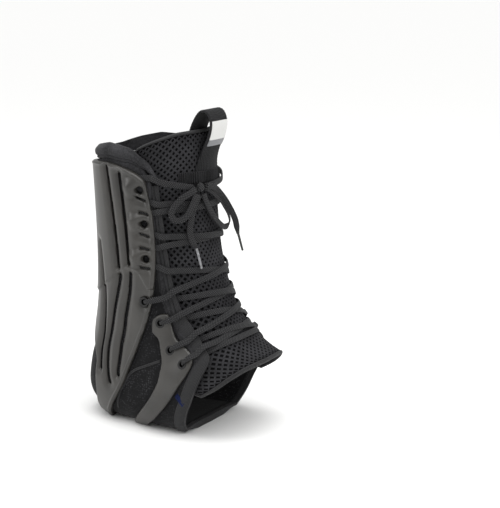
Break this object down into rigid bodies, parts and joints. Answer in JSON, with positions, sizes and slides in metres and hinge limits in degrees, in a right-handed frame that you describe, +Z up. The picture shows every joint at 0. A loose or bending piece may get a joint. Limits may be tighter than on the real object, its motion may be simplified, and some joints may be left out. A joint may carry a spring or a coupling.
{
  "type": "ankle brace",
  "caption": "Lace-up ankle brace for the right foot: knitted boot, moulded outer wings, arch strap, mesh tongue, laces tied in a bow and a pull loop.",
  "frame": {"origin": "middle of the heel strap's underside, on the floor", "axes": "+Z up, +X towards the toes, -Y towards the outer side of the right ankle"},
  "size_m": [0.1472, 0.0998, 0.233],
  "materials": {
    "knit": "brushed knit, charcoal",
    "collar": "padded smooth knit, charcoal",
    "binding": "stretch tape, dark grey",
    "moulding": "satin, warm dark grey",
    "mesh": "spacer mesh, charcoal",
    "webbing": "woven webbing, near black",
    "label": "woven label, plain white",
    "lace": "flat braid, dark grey",
    "tip_clear": "clear film over the braid",
    "tip_dark": "dark film over the braid"
  },
  "bodies": {
    "root": {"boot_shell": "knit", "collar_roll": "collar", "edge_binding": "binding", "moulded_shell": "moulding", "arch_strap": "moulding", "tongue": "mesh", "pull_loop": "webbing", "loop_label": "label", "lace": "lace", "bow_knot": "lace", "bow_loop_left": "lace", "bow_loop_right": "lace", "lace_end_left": "lace", "lace_end_right": "lace", "lace_tip_left": "tip_clear", "lace_tip_right": "tip_dark"}
  },
  "joints": []
}
